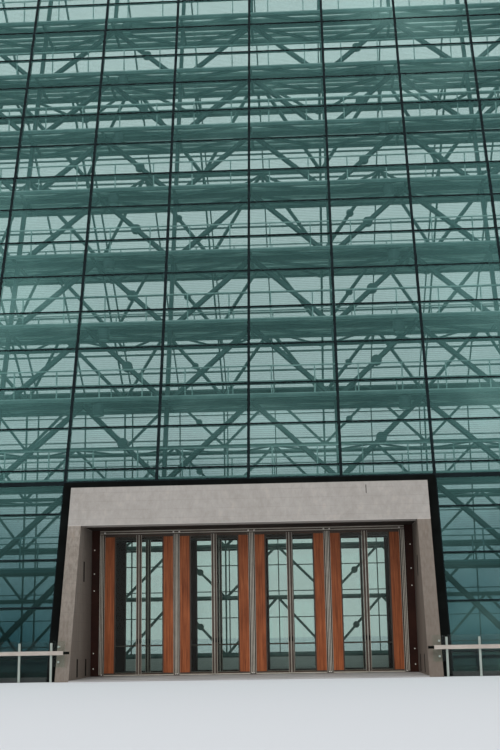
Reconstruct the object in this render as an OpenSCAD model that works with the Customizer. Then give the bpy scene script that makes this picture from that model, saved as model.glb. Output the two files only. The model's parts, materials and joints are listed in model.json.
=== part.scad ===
// Town hall: a glazed hall with a leaning front, a long sloping rear roof and a concrete entrance portal
// Millimetres, X across the front, Y into the building, Z up, centred over the footprint

/* [Building] */
// Width of one glazing bay
bay_w = 3200; // [2900:10:3250]
// Glazing bays across the front
bays = 12; // [8:2:12]
// Lean of the front wall from upright
lean = 18; // [14:0.5:20]
// Height of one row of glass, measured up the slope
row_h = 1668; // [1600:1:1740]
// Height of the cut row at the ground, measured up the slope
first_row_h = 796; // [700:1:900]
// Whole rows above the cut row
rows = 22; // [21:1:23]
// Depth of the hall at the ground, from the front glass to the upright rear glass
hall_depth = 39000; // [37000:100:39500]
// Slope of the rear roof from level
roof_slope = 34; // [32:0.5:38]
// Thickness of the concrete side walls
wall_t = 400; // [300:10:500]
// How far the side walls stand out past the glass
wall_out = 60; // [20:5:120]

/* [Base] */
// Height of the kerb under the glass
kerb_h = 150; // [100:5:220]
// How far the kerb stands out from the glass
kerb_out = 60; // [20:5:100]
// Width of the kerb
kerb_w = 520; // [400:10:700]
// Thickness of the floor paving
floor_t = 40; // [30:1:60]

/* [Glazing] */
// Thickness of the wall glass
glass_t = 24; // [16:1:36]
// Open joint between two rows of glass
glass_joint = 12; // [8:1:20]
// Face width of mullions and transoms
bar_face = 60; // [50:1:90]
// Depth of the transoms
transom_d = 80; // [60:1:120]
// Depth of the mullions
mullion_d = 230; // [180:5:300]
// Width of the outside pressure caps
cap_w = 50; // [40:1:80]
// How far the caps stand out from the glass
cap_out = 15; // [10:1:30]

/* [Roof] */
// Height of the ridge beam
ridge_h = 450; // [430:10:600]
// Height of the eave beam
eave_h = 350; // [300:10:500]
// Width of the eave beam
eave_w = 400; // [360:10:500]

/* [Steel truss] */
// Distance from the front glass back to the lattice, along the ground
web_back = 2000; // [1900:10:2200]
// Distance from the front glass to the outer edge of the decks, along the ground
deck_front = 1000; // [900:10:1200]
// Distance from the front glass to the inner edge of the decks, along the ground
deck_back = 3700; // [3500:10:3900]
// Depth of the rear lattice under the roof, square to the slope
roof_truss_d = 2600; // [2400:10:2800]
// Least distance from the rear lattice to the rear glass
rear_gap = 3000; // [2600:100:3400]
// Distance from the side glass to the end of a chord
truss_end = 700; // [500:10:900]
// Truss levels above the portal
upper_levels = 8; // [6:1:8]
// Glazing rows from one truss level to the next
level_rows = 2; // [2:1:2]
// Drop of a truss level below its glazing line
level_drop = 300; // [200:10:400]
// Sides of the chords
bar_sides = 8; // [6:2:8]
// Thickness of the chords
chord_t = 230; // [200:5:300]
// Face width of the diagonals
diagonal_t = 150; // [120:5:180]
// Depth of the diagonals and posts
web_d = 180; // [150:5:200]
// Face width of the front posts
post_t = 160; // [120:5:200]
// Face width of the rear posts
thin_post_t = 90; // [60:5:110]
// Radius of the round couplers on the diagonals
coupler_r = 200; // [140:10:240]
// Thickness of the plan bracing and the edge beams of the decks
brace_t = 110; // [80:5:140]
// Width of the rear walkway
rear_deck_w = 720; // [600:10:900]
// Height of the deck rails over the grating
deck_rail_h = 1100; // [1000:10:1150]
// Thickness of the deck rails
deck_rail_t = 45; // [36:1:60]
// Slots along one walkway, end to end
slot_runs = 2; // [1:1:3]
// Width of one strip of the walkway grating
plank_w = 300; // [200:10:360]
// Gap between two strips of the walkway grating
plank_gap = 120; // [60:5:200]
// Thickness of the walkway grating
plank_t = 45; // [30:1:60]

/* [Portal] */
// Width of the side panels between the doors and the legs
infill_w = 295; // [200:5:400]
// Width of a leg's face
leg_w = 440; // [380:5:500]
// How far the legs run back past the door posts
leg_over = 20; // [5:5:40]
// How far the concrete stands out from the glass
portal_out = 300; // [200:10:400]
// Height of the top of the lintel, measured up the slope
portal_top = 6640; // [6500:10:6760]
// Height of the underside of the lintel
soffit_z = 5060; // [5000:10:5150]
// Depth of the lintel from front to back
lintel_d = 700; // [500:10:900]
// Width of the black steel surround beside the legs
surround_w = 300; // [240:5:300]
// Thickness of the black steel surround over the lintel
surround_h = 280; // [200:5:320]
// How far the surround stands out from the glass
surround_out = 120; // [60:5:160]
// Depth of the surround behind the glass
surround_in = 260; // [200:5:320]
// Thickness of the slab over the recess
portal_roof_t = 200; // [150:5:260]
// Distance from the doors' front face back to the side panels
infill_in = 30; // [10:5:60]
// Thickness of the side panels
infill_t = 60; // [40:5:90]

/* [Doors] */
// Distance from the glass at the ground to the front face of the doors
door_y = 3400; // [3200:10:3600]
// Distance between the outer and the inner set of doors
vestibule_d = 2370; // [2200:10:2600]
// Distance between the centres of two door posts
unit_w = 2650; // [2500:10:2700]
// Width of a door post
post_w = 130; // [110:2:160]
// Gap between the two tubes of a door post
post_split = 24; // [12:2:40]
// Depth of a door post
post_d = 140; // [110:2:180]
// Height of the underside of the door head
head_z = 4900; // [4700:1:4940]
// Thickness of a leaf
leaf_t = 64; // [54:1:80]
// Gap under a leaf
leaf_gap = 12; // [8:1:20]
// Gap between a leaf and its post
edge_gap = 7; // [6:0.5:12]
// Gap between the two leaves of a unit
meeting_gap = 9; // [8:0.5:14]
// Width of the meeting stile
stile_w = 90; // [70:2:120]
// Width of the narrow stiles on both sides of the timber
edge_stile_w = 45; // [36:1:60]
// Width of the timber panel
timber_w = 340; // [280:5:400]
// Height of the bottom rail
bottom_rail_h = 90; // [70:5:200]
// Height of the top rail
top_rail_h = 70; // [50:5:200]
// Thickness of the door glass
pane_t = 14; // [10:1:20]
// Thickness of the timber panel
timber_t = 52; // [40:1:54]
// Height of the push bar
bar_z = 1050; // [950:5:1100]
// Thickness of the push bar
bar_t = 36; // [30:1:44]
// Thickness of the push bar's brackets
bracket_t = 28; // [16:1:28]
// Distance from the leaf to the push bar's middle
bar_off = 60; // [45:1:80]
// Radius of the pivot pins
pin_r = 12; // [9:0.5:16]
// Radius of the pivot plates
plate_r = 34; // [24:1:36]
// Thickness of the pivot plates
plate_t = 4; // [3:0.5:6]

/* [Guard screens] */
// Height of the guard glass
guard_h = 1270; // [1100:10:1400]
// Drop of a guard post below the top of the glass
guard_drop = 60; // [20:5:120]
// Gap under the guard glass
guard_gap = 80; // [40:5:120]
// Height of the handrail
handrail_z = 900; // [800:10:1000]
// Guard panes on each side of the portal
guard_panes = 13; // [8:1:14]
// Distance from the middle of the guard to the glass at the ground
guard_y = 190; // [170:5:220]
// Thickness of the guard glass
guard_t = 16; // [12:1:24]
// Width of a guard post's plate
guard_plate_w = 70; // [50:2:100]
// Thickness of a guard post's plate
guard_plate_t = 12; // [8:1:16]
// Thickness of the handrail
handrail_t = 50; // [40:1:60]

/* [Fit] */
// Clearance where one piece seats on another
seat = 0.3; // [0.2:0.05:0.5]

/* [Hidden] */

// Overall lengths
half_w = bays * bay_w / 2;
wall_len = first_row_h + rows * row_h;
ridge_z = wall_len * cos(lean);
ridge_y = wall_len * sin(lean);
top_z = ridge_z - ridge_h;
side_half = half_w + wall_t;
front_y = -portal_out / cos(lean);
rear_y = hall_depth + max(kerb_out, wall_out);
mid_y = (front_y + rear_y) / 2;
far = 2 * (hall_depth + ridge_z);

// Height up the slope of a glazing line
function line_v(k) = first_row_h + k * row_h;

// Distance into the building of a plane that lies a depth behind the leaning glass, at one height
function lean_y(z, depth) = z * tan(lean) + depth / cos(lean);

// The same for a plane that lies a depth under the sloping roof, and its height at one distance
function roof_y(z, depth) = ridge_y + (ridge_z - z) / tan(roof_slope) - depth / sin(roof_slope);
function roof_z(y, depth) = ridge_z - (y - ridge_y + depth / sin(roof_slope)) * tan(roof_slope);

// Where the front and the roof meet, with both moved out by the same distance
function crest_z(out) = (ridge_y + ridge_z / tan(roof_slope) + out / sin(roof_slope) + out / cos(lean))
  / (tan(lean) + 1 / tan(roof_slope));
function crest(out) = [lean_y(crest_z(out), -out), crest_z(out)];

module placed() translate([0, -mid_y, 0]) children();

// Frames of the glass walls and the roof: X across, Y along the slope, Z out of the glass
module front() rotate([90 - lean, 0, 0]) children();
module rear() translate([0, hall_depth, 0]) mirror([0, 1, 0]) rotate([90, 0, 0]) children();
module roof() translate([0, ridge_y, ridge_z]) rotate([-roof_slope, 0, 0]) children();

// Keeps what lies between two heights
module between(z0, z1) intersection() {
  children();
  translate([-far, -far, z0]) cube([2 * far, 2 * far, z1 - z0]);
}

// Box from two corners
module block(a, b) translate(a) cube(b - a);

// Block given in the facade frame
module slab(x, v, w) block([x[0], v[0], w[0]], [x[1], v[1], w[1]]);

// Outline in the Y and Z directions, drawn out along X
module across(x0, x1) translate([x0, 0, 0]) rotate([90, 0, 90]) linear_extrude(x1 - x0) children();

// Keeps what lies at least a depth inside the glass
module inside(depth) intersection() {
  children();
  across(-side_half, side_half) polygon([
    [lean_y(0, depth), 0], [hall_depth - depth, 0],
    [hall_depth - depth, roof_z(hall_depth - depth, depth)], crest(-depth)
  ]);
}

module both_sides() {
  children();
  mirror([1, 0, 0]) children();
}

// Glazing
glass_in = glass_t + seat;
frame_in = glass_in + mullion_d + seat;
portal_half = 2 * unit_w + post_w / 2 + infill_w;
leg_out = portal_half + leg_w;
gap_half = leg_out + surround_w;
gap_top = portal_top + surround_h;
edge_x = half_w - seat;
base_z = kerb_h + seat;
min_cell = 150;
overcut = 1;

// First glazing line over the portal and its surround
first_line = ceil((gap_top - first_row_h) / row_h);
portal_line_v = line_v(first_line);

// Whole rows of glass on the upright rear wall and on the roof
roof_len = (hall_depth - ridge_y) / cos(roof_slope);
eave_z = roof_z(hall_depth, 0);
rear_rows = ceil((eave_z - first_row_h) / row_h);
roof_rows = ceil((roof_len - first_row_h) / row_h);

// Flat grid of mullions and transoms over one stretch of glass, with bars of one face width
module grid(x, v, count, face) difference() {
  translate([x[0], v[0]]) square([x[1] - x[0], v[1] - v[0]]);
  for (i = [0 : bays - 1], k = [0 : count]) {
    x0 = max(x[0] + face, -half_w + i * bay_w + face / 2);
    x1 = min(x[1] - face, -half_w + (i + 1) * bay_w - face / 2);
    v0 = max(v[0] + 2 * face, (k == 0 ? 0 : line_v(k - 1)) + face / 2);
    v1 = min(v[1] - face, line_v(k) - face / 2);
    if (x1 - x0 > min_cell && v1 - v0 > min_cell) translate([x0, v0]) square([x1 - x0, v1 - v0]);
  }
}

// One sheet for each row of glass
module sheets(x, v, count) for (k = [0 : count]) {
  v0 = max(v[0], k == 0 ? 0 : line_v(k - 1) + glass_joint / 2);
  v1 = min(v[1], line_v(k) - glass_joint / 2);
  if (v1 - v0 > min_cell) slab([x[0], x[1]], [v0, v1], [-glass_t, 0]);
}

module bars(x, v, count) {
  translate([0, 0, -glass_in - transom_d]) linear_extrude(transom_d) grid(x, v, count, bar_face);
  for (i = [-bays / 2 : bays / 2]) {
    c = i * bay_w;
    if (c - bar_face / 2 > x[0] && c + bar_face / 2 < x[1])
      slab([c - bar_face / 2, c + bar_face / 2], v, [-glass_in - mullion_d, -glass_in - transom_d]);
  }
  for (c = x) {
    c0 = c == x[0] ? c : c - bar_face;
    slab([c0, c0 + bar_face], v, [-glass_in - mullion_d, -glass_in - transom_d]);
  }
}

module caps(x, v, count) translate([0, 0, seat]) linear_extrude(cap_out) grid(x, v, count, cap_w);

glass_x0 = half_w - glass_joint;
front_top = top_z / cos(lean);
rear_top = eave_z - eave_h - seat;
roof_start = ridge_h / sin(roof_slope) + seat;
roof_end = roof_len - (eave_w + (cap_out + seat) * sin(roof_slope)) / cos(roof_slope);

module front_glass() color("#7f9f9c", 0.5) between(base_z, top_z) front() {
  both_sides() sheets([gap_half + seat, glass_x0], [0, portal_line_v - glass_joint / 2], rows);
  sheets([-gap_half, gap_half], [gap_top + seat, portal_line_v - glass_joint / 2], rows);
  sheets([-glass_x0, glass_x0], [portal_line_v + glass_joint / 2, front_top], rows);
}

module front_frame() color("#3d4547") between(base_z, top_z) front() {
  both_sides() bars([gap_half + seat, edge_x], [0, gap_top], rows);
  bars([-edge_x, edge_x], [gap_top + seat, front_top], rows);
}

module front_caps() color("#15181a") between(base_z, top_z) front() {
  both_sides() caps([gap_half + seat, edge_x], [0, gap_top], rows);
  caps([-edge_x, edge_x], [gap_top + seat, front_top], rows);
}

module rear_glass() color("#7f9f9c", 0.5) rear() sheets([-glass_x0, glass_x0], [base_z, rear_top], rear_rows);
module rear_frame() color("#3d4547") rear() bars([-edge_x, edge_x], [base_z, rear_top], rear_rows);

// Outside caps of the rear wall and of the roof
module rear_caps() color("#15181a") {
  rear() caps([-edge_x, edge_x], [base_z, rear_top], rear_rows);
  between(0, top_z) roof() caps([-edge_x, edge_x], [roof_start, roof_end], roof_rows);
}

module roof_glass() color("#7f9f9c", 0.5) roof()
  sheets([-glass_x0, glass_x0], [roof_start, roof_end], roof_rows);
module roof_frame() color("#3d4547") roof() bars([-edge_x, edge_x], [roof_start, roof_end], roof_rows);

// Ground, walls and roof
inner_door_y = door_y + vestibule_d;
leg_back = inner_door_y + post_d + leg_over;

module base_kerb() color("#4a4d4d") {
  both_sides() block([gap_half + seat, -kerb_out, 0], [edge_x, kerb_w - kerb_out, kerb_h]);
  block([-edge_x, hall_depth + kerb_out - kerb_w, 0], [edge_x, hall_depth + kerb_out, kerb_h]);
}

module ground_floor() color("#a9a7a2") {
  inner_y = kerb_w - kerb_out + seat;
  linear_extrude(floor_t) difference() {
    translate([-edge_x, inner_y]) square([2 * edge_x, hall_depth - 2 * inner_y]);
    translate([-leg_out - seat, 0]) square([2 * (leg_out + seat), leg_back + seat]);
  }
  block([seat - portal_half, front_y, 0], [portal_half - seat, leg_back, floor_t]);
}

module side_wall() across(half_w, side_half) polygon([
  [lean_y(0, -wall_out), 0], [hall_depth + wall_out, 0],
  [hall_depth + wall_out, roof_z(hall_depth + wall_out, -wall_out)], crest(wall_out)
]);
module right_wall() color("#8d8983") side_wall();
module left_wall() color("#8d8983") mirror([1, 0, 0]) side_wall();

// Ridge beam between the front and the roof, and the eave beam over the rear wall
module roof_coping() color("#2c3032") {
  z0 = top_z + seat;
  across(-edge_x, edge_x) polygon([[lean_y(z0, -cap_out), z0], [roof_y(z0, -cap_out), z0], crest(cap_out)]);
  y0 = hall_depth - eave_w;
  y1 = hall_depth + wall_out;
  across(-edge_x, edge_x) polygon([
    [y0, eave_z - eave_h], [y1, eave_z - eave_h], [y1, roof_z(y1, -cap_out)], [y0, roof_z(y0, -cap_out)]
  ]);
}

// Entrance portal
lintel_back = portal_out - lintel_d;

module portal_lintel() color("#a59b90") between(soffit_z, top_z) front()
  slab([-leg_out, leg_out], [0, portal_top], [lintel_back, portal_out]);

module portal_legs() color("#a59b90") both_sides() across(portal_half, leg_out) {
  top = soffit_z - seat;
  polygon([[front_y, 0], [leg_back, 0], [leg_back, top], [lean_y(top, -portal_out), top]]);
}

// Black steel frame round the concrete, with its two jambs down to the ground
module portal_surround() color("#17191b") between(0, top_z) front() {
  both_sides() slab([leg_out + seat, gap_half], [-surround_in, portal_top], [-surround_in, surround_out]);
  slab([-gap_half, gap_half], [portal_top + seat, gap_top], [-surround_in, surround_out]);
}

// Roof slab of the recess, from the lintel's back to the door wall
module portal_roof() color("#4b4743") {
  top = soffit_z + portal_roof_t;
  across(-leg_out, leg_out) polygon([
    [lean_y(soffit_z, -lintel_back) + seat, soffit_z], [leg_back, soffit_z],
    [leg_back, top], [lean_y(top, -lintel_back) + seat, top]
  ]);
}

module portal_infill() color("#3b3634") both_sides() for (y = [door_y, inner_door_y]) block(
  [2 * unit_w + post_w / 2 + seat, y + infill_in, floor_t + seat],
  [portal_half - seat, y + infill_in + infill_t, soffit_z - seat]);

// Doors
axis_r = leaf_t / 2;
leaf_z = floor_t + leaf_gap;
leaf_w = (unit_w - post_w - 2 * edge_gap - meeting_gap) / 2;
leaf_h = head_z - leaf_gap - leaf_z;
timber_x = edge_stile_w;
glass_x = timber_x + timber_w + edge_stile_w;
pane_w = leaf_w - glass_x - stile_w;
pane_h = leaf_h - bottom_rail_h - top_rail_h;

module door_frame() color("#5d5148") for (y = [door_y, inner_door_y]) {
  for (i = [-2 : 2], s = [-1, 1])
    block([i * unit_w + s * post_w / 4 - post_w / 4 + post_split / 2, y, floor_t + seat],
      [i * unit_w + s * post_w / 4 + post_w / 4 - post_split / 2, y + post_d, head_z - seat]);
  block([-2 * unit_w - post_w / 2, y, head_z], [2 * unit_w + post_w / 2, y + post_d, soffit_z - seat]);
  for (n = [1 : 8]) place_leaf(n, y) for (z = [floor_t + seat, head_z - seat - plate_t])
    translate([axis_r, axis_r, z]) cylinder(r = plate_r, h = plate_t);
}

// Leaf n counts from the left. A leaf is drawn from its hinge edge along X, and right leaves are mirrored.
module place_leaf(n, y) {
  unit = ceil(n / 2) - 3;
  if (n % 2 == 1) translate([unit * unit_w + post_w / 2 + edge_gap, y, 0]) children();
  else translate([(unit + 1) * unit_w - post_w / 2 - edge_gap, y, 0]) mirror([1, 0, 0]) children();
}

module leaf_frame(n, y = door_y) color("#6b5c4e") place_leaf(n, y) {
  pin_h = leaf_gap - plate_t - 2 * seat;
  translate([0, 0, leaf_z]) difference() {
    union() {
      translate([axis_r, 0, 0]) cube([leaf_w - axis_r, leaf_t, leaf_h]);
      translate([axis_r, axis_r, 0]) cylinder(r = axis_r, h = leaf_h);
    }
    for (hole = [[timber_x, timber_w], [glass_x, pane_w]])
      translate([hole[0], -overcut, bottom_rail_h]) cube([hole[1], leaf_t + 2 * overcut, pane_h]);
  }
  for (z = [leaf_z - pin_h, leaf_z + leaf_h]) translate([axis_r, axis_r, z]) cylinder(r = pin_r, h = pin_h);
  for (x = [glass_x - edge_stile_w / 2, leaf_w - stile_w / 2]) translate([x, leaf_t, bar_z]) rotate([-90, 0, 0])
    cylinder(d = bracket_t, h = bar_off);
  translate([glass_x - edge_stile_w, leaf_t + bar_off, bar_z]) rotate([0, 90, 0])
    cylinder(d = bar_t, h = leaf_w - glass_x);
}

module leaf_timber(n, y = door_y) color("#8a4a2c") place_leaf(n, y)
  translate([timber_x + seat, (leaf_t - timber_t) / 2, leaf_z + bottom_rail_h + seat])
    cube([timber_w - 2 * seat, timber_t, pane_h - 2 * seat]);

module leaf_glass(n, y = door_y) color("#a9c2bb", 0.4) place_leaf(n, y)
  translate([glass_x + seat, (leaf_t - pane_t) / 2, leaf_z + bottom_rail_h + seat])
    cube([pane_w - 2 * seat, pane_t, pane_h - 2 * seat]);

// Leaf of the inner set, with its timber panel and its pane
module inner_leaf(n) {
  leaf_frame(n, inner_door_y);
  leaf_timber(n, inner_door_y);
  leaf_glass(n, inner_door_y);
}

// Steel truss
last = bays / 2;
lower_levels = floor(first_line / level_rows);

// Truss node across the hall. Nodes with an even number are the high ones.
function node_x(i) = abs(i) == last ? sign(i) * (half_w - truss_end) : i * bay_w;

// Middle height of a level's chords: level 0 lies on the floor, and the next ones hang under glazing lines
function level_z(n) = n == 0 ? floor_t + seat + chord_t / 2
  : line_v(first_line + (n - lower_levels) * level_rows) * cos(lean) - level_drop;
top_level = lower_levels + upper_levels - 1;
cut_z = level_z(lower_levels) - chord_t / 2;

// Distance into the building of the front chord and of the rear chord on one level. The rear lattice follows
// the roof down to the knee and stands upright below it, and it ends where it would meet the front decks.
function chord_y(n) = level_z(n) * tan(lean) + web_back;
knee = min([for (n = [1 : top_level]) if (roof_y(level_z(n), roof_truss_d) < hall_depth - rear_gap) n]);
rear_last = max([for (n = [1 : top_level])
  if (roof_y(level_z(n), roof_truss_d) > level_z(n) * tan(lean) + deck_back + chord_t) n]);
function rear_chord_y(n) = roof_y(level_z(max(n, knee)), roof_truss_d);

// Bar between two points, with flat faces up and down where it lies level
module bar(a, b, t, sides = bar_sides) {
  d = b - a;
  turn = atan2(d[1], d[0]);
  fall = acos(d[2] / norm(d));
  translate(a) rotate([0, fall, turn]) rotate(180 / sides)
    cylinder(d = t / cos(180 / sides), h = norm(d), $fn = sides);
}

// Flat strip between two points
module strip(a, b, t) {
  side = t / 2 * [a[1] - b[1], b[0] - a[0]] / norm(b - a);
  polygon([a + side, b + side, b - side, a - side]);
}

// Posts, diagonals and couplers of one plane, between levels whose places along the plane are given
module web(places, post) linear_extrude(web_d, center = true) for (n = [0 : len(places) - 2]) {
  for (i = [-last : last]) if (i % 2 != 0) strip([node_x(i), places[n]], [node_x(i), places[n + 1]], post);
  for (i = [-last : last - 1]) {
    rise = i % 2 == 0 ? 1 : 0;
    strip([node_x(i), places[n + rise]], [node_x(i + 1), places[n + 1 - rise]], diagonal_t);
  }
  for (side = [-1, 1]) translate([side * (node_x(1) + node_x(2)) / 2, (places[n] + places[n + 1]) / 2])
    circle(r = coupler_r);
}

// Chord along the hall
module chord(y, z) bar([node_x(-last) - chord_t, y, z], [node_x(last) + chord_t, y, z], chord_t);

// Place of a level up the front lattice
function web_v(n) = level_z(n) / cos(lean) + web_back * sin(lean);

// Lattice behind the front glass, between two levels
module front_lattice(n0, n1) {
  front() translate([0, 0, -web_back * cos(lean)]) web([for (n = [n0 : n1]) web_v(n)], post_t);
  for (n = [n0 : n1]) chord(chord_y(n), level_z(n));
}

// Front lattice over the portal, with posts from its top chord up to the roof
module truss_outer() color("#4d6a68") inside(frame_in) between(cut_z, ridge_z) {
  front_lattice(lower_levels, top_level);
  front() translate([0, 0, -web_back * cos(lean)]) linear_extrude(web_d, center = true) for (i = [-last : last])
    strip([node_x(i), web_v(top_level)], [node_x(i), wall_len], post_t);
}

// Rear lattice: upright from the floor to the knee, and along the roof from there
module truss_inner() color("#4d6a68") {
  between(0, level_z(knee) - chord_in) {
    translate([0, rear_chord_y(0), 0]) rotate([90, 0, 0]) web([for (n = [0 : knee]) level_z(n)], thin_post_t);
    for (n = [0 : knee - 1]) chord(rear_chord_y(n), level_z(n));
  }
  roof() translate([0, 0, -roof_truss_d]) web([for (n = [knee : rear_last])
    (ridge_z - level_z(n) - roof_truss_d * cos(roof_slope)) / sin(roof_slope)], thin_post_t);
  for (n = [knee : rear_last]) chord(rear_chord_y(n), level_z(n));
}

// Front lattice beside the portal, from the floor up to the first level over the doors
module lower_truss_right() color("#4d6a68") intersection() {
  front_lattice(0, lower_levels);
  block([leg_out + seat, 0, 0], [half_w, hall_depth, cut_z - seat]);
}
module lower_truss_left() mirror([1, 0, 0]) lower_truss_right();

// Stretches of deck across the hall. The portal cuts the lowest front one in two.
function deck_runs(n) = n < lower_levels
  ? [[-edge_x, -gap_half - seat], [gap_half + seat, edge_x]] : [[-edge_x, edge_x]];

// Near and far edges of the two strips of a front deck, on both sides of the chord
chord_in = chord_t / 2 + seat;
function deck_strips(n) = let (y = level_z(n) * tan(lean)) [
  [y + deck_front, chord_y(n) - chord_in], [chord_y(n) + chord_in, y + deck_back]
];

// Near edge of the inner grating behind the chord, clear of the lattice that leans over it
grating_in = max(chord_t / 2, web_d / 2 / cos(lean) + (brace_t / 2 + seat + plank_t) * tan(lean)) + seat;

// Far edge of the rear deck at one height, and where it starts clear of the lattice that slopes down
// from its chord
function rear_edge(z) = min(hall_depth - frame_in, roof_y(z, frame_in));
slope_in = brace_t / 2 / tan(roof_slope) + web_d / 2 / sin(roof_slope) + seat;
function rear_start(n) = rear_chord_y(n) + (n > knee ? max(chord_in, slope_in) : chord_in);

// Edge beam, cross bars and plan diagonals between two lines, with the beam on one of them
module plan_web(x, y, beam_y) linear_extrude(brace_t, center = true) intersection() {
  translate([x[0], y[0]]) square([x[1] - x[0], y[1] - y[0]]);
  union() {
    strip([x[0], beam_y], [x[1], beam_y], brace_t);
    for (i = [-last : last]) {
      strip([node_x(i), y[0] - brace_t], [node_x(i), y[1] + brace_t], brace_t);
      if (i < last) strip([node_x(i), y[abs(i % 2)]], [node_x(i + 1), y[1 - abs(i % 2)]], brace_t);
    }
  }
}

module truss_bracing() color("#4d6a68") {
  for (n = [1 : top_level], x = deck_runs(n)) translate([0, 0, level_z(n)]) {
    y = deck_strips(n);
    plan_web(x, y[0], y[0][0] + brace_t / 2);
    plan_web(x, y[1], y[1][1] - brace_t / 2);
  }
  inside(frame_in) for (n = [1 : rear_last]) translate([0, 0, level_z(n)]) {
    edge = rear_edge(level_z(n) + brace_t / 2);
    plan_web([-edge_x, edge_x], [rear_start(n), edge + 2 * brace_t], edge - brace_t / 2);
  }
}

// Slotted grating between two lines
module grating(x, y) {
  planks = max(1, round((y[1] - y[0] + plank_gap) / (plank_w + plank_gap)));
  pitch = (y[1] - y[0] + plank_gap) / planks;
  x0 = max(x[0], node_x(-last));
  x1 = min(x[1], node_x(last));
  run = (x1 - x0 - plank_gap) / slot_runs;
  linear_extrude(plank_t) difference() {
    translate([x0, y[0]]) square([x1 - x0, y[1] - y[0]]);
    for (i = [0 : slot_runs - 1], j = [1 : planks - 1])
      translate([x0 + plank_gap + i * run, y[0] + j * pitch - plank_gap]) square([run - plank_gap, plank_gap]);
  }
}

// Rail of a deck, with stanchions on the edge beam
module deck_rail(x, y) {
  x0 = max(x[0], node_x(-last));
  x1 = min(x[1], node_x(last));
  steps = round((x1 - x0) / bay_w * 2);
  step = (x1 - x0 - deck_rail_t) / steps;
  translate([0, y + deck_rail_t, 0]) rotate([90, 0, 0]) linear_extrude(deck_rail_t) difference() {
    translate([x0, 0]) square([x1 - x0, deck_rail_h]);
    for (i = [0 : steps - 1]) translate([x0 + deck_rail_t + i * step, deck_rail_t])
      square([step - deck_rail_t, deck_rail_h - 2 * deck_rail_t]);
  }
}

// Gratings that lie on the bracing, with rails along both edges of the front decks
module walkways() color("#41504f") {
  deck_top = brace_t / 2 + seat;
  for (n = [1 : top_level], x = deck_runs(n)) translate([0, 0, level_z(n) + deck_top]) {
    y = deck_strips(n);
    deck_rail(x, y[0][0]);
    grating(x, [y[0][0] + deck_rail_t + seat, y[0][1]]);
    grating(x, [chord_y(n) + grating_in, y[1][1] - deck_rail_t - seat]);
    deck_rail(x, y[1][1] - deck_rail_t);
  }
  for (n = [1 : rear_last]) {
    edge = rear_edge(level_z(n) + deck_top + plank_t);
    translate([0, 0, level_z(n) + deck_top]) grating([-edge_x, edge_x], [edge - rear_deck_w, edge]);
  }
}

// Guard screens
guard_x = gap_half - surround_w / 2;
guard_step = (side_half - guard_plate_w - guard_x) / guard_panes;

module guard_posts() color("#8f9a97") both_sides() for (j = [0 : guard_panes], s = [-1, 1]) {
  y = -guard_y + s * (guard_t / 2 + seat);
  block([guard_x + j * guard_step - guard_plate_w / 2, min(y, y + s * guard_plate_t), 0],
    [guard_x + j * guard_step + guard_plate_w / 2, max(y, y + s * guard_plate_t), guard_h - guard_drop]);
}

module guard_glass() color("#a9c2bb", 0.4) both_sides() for (j = [0 : guard_panes - 1])
  block([guard_x + j * guard_step + glass_joint / 2, -guard_y - guard_t / 2, guard_gap],
    [guard_x + (j + 1) * guard_step - glass_joint / 2, -guard_y + guard_t / 2, guard_h]);

// Handrails in front of the posts, each with an arm back to the leaning face of a portal leg
module guard_rails() color("#7c675a") both_sides() {
  y = -guard_y - guard_t / 2 - guard_plate_t - 2 * seat;
  x = guard_x - surround_w;
  z = [handrail_z - handrail_t, handrail_z];
  block([x, y - handrail_t, z[0]], [side_half, y, z[1]]);
  across(x, x + handrail_t) polygon([[y - handrail_t / 2, z[0]], [lean_y(z[0], -portal_out - seat), z[0]],
    [lean_y(z[1], -portal_out - seat), z[1]], [y - handrail_t / 2, z[1]]]);
}

placed() base_kerb();
placed() ground_floor();
placed() left_wall();
placed() right_wall();
placed() portal_lintel();
placed() portal_legs();
placed() portal_surround();
placed() portal_roof();
placed() portal_infill();
placed() door_frame();
placed() front_glass();
placed() front_frame();
placed() front_caps();
placed() rear_glass();
placed() rear_frame();
placed() rear_caps();
placed() roof_glass();
placed() roof_frame();
placed() roof_coping();
placed() truss_outer();
placed() truss_inner();
placed() lower_truss_left();
placed() lower_truss_right();
placed() truss_bracing();
placed() walkways();
placed() guard_posts();
placed() guard_glass();
placed() guard_rails();
placed() leaf_frame(1);  // door_1_frame
placed() leaf_timber(1);  // door_1_timber
placed() leaf_glass(1);  // door_1_glass
placed() leaf_frame(2);  // door_2_frame
placed() leaf_timber(2);  // door_2_timber
placed() leaf_glass(2);  // door_2_glass
placed() leaf_frame(3);  // door_3_frame
placed() leaf_timber(3);  // door_3_timber
placed() leaf_glass(3);  // door_3_glass
placed() leaf_frame(4);  // door_4_frame
placed() leaf_timber(4);  // door_4_timber
placed() leaf_glass(4);  // door_4_glass
placed() leaf_frame(5);  // door_5_frame
placed() leaf_timber(5);  // door_5_timber
placed() leaf_glass(5);  // door_5_glass
placed() leaf_frame(6);  // door_6_frame
placed() leaf_timber(6);  // door_6_timber
placed() leaf_glass(6);  // door_6_glass
placed() leaf_frame(7);  // door_7_frame
placed() leaf_timber(7);  // door_7_timber
placed() leaf_glass(7);  // door_7_glass
placed() leaf_frame(8);  // door_8_frame
placed() leaf_timber(8);  // door_8_timber
placed() leaf_glass(8);  // door_8_glass
placed() inner_leaf(1);  // inner_door_1
placed() inner_leaf(2);  // inner_door_2
placed() inner_leaf(3);  // inner_door_3
placed() inner_leaf(4);  // inner_door_4
placed() inner_leaf(5);  // inner_door_5
placed() inner_leaf(6);  // inner_door_6
placed() inner_leaf(7);  // inner_door_7
placed() inner_leaf(8);  // inner_door_8
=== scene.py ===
import json
import math

import bpy
from mathutils import Matrix, Vector


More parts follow.
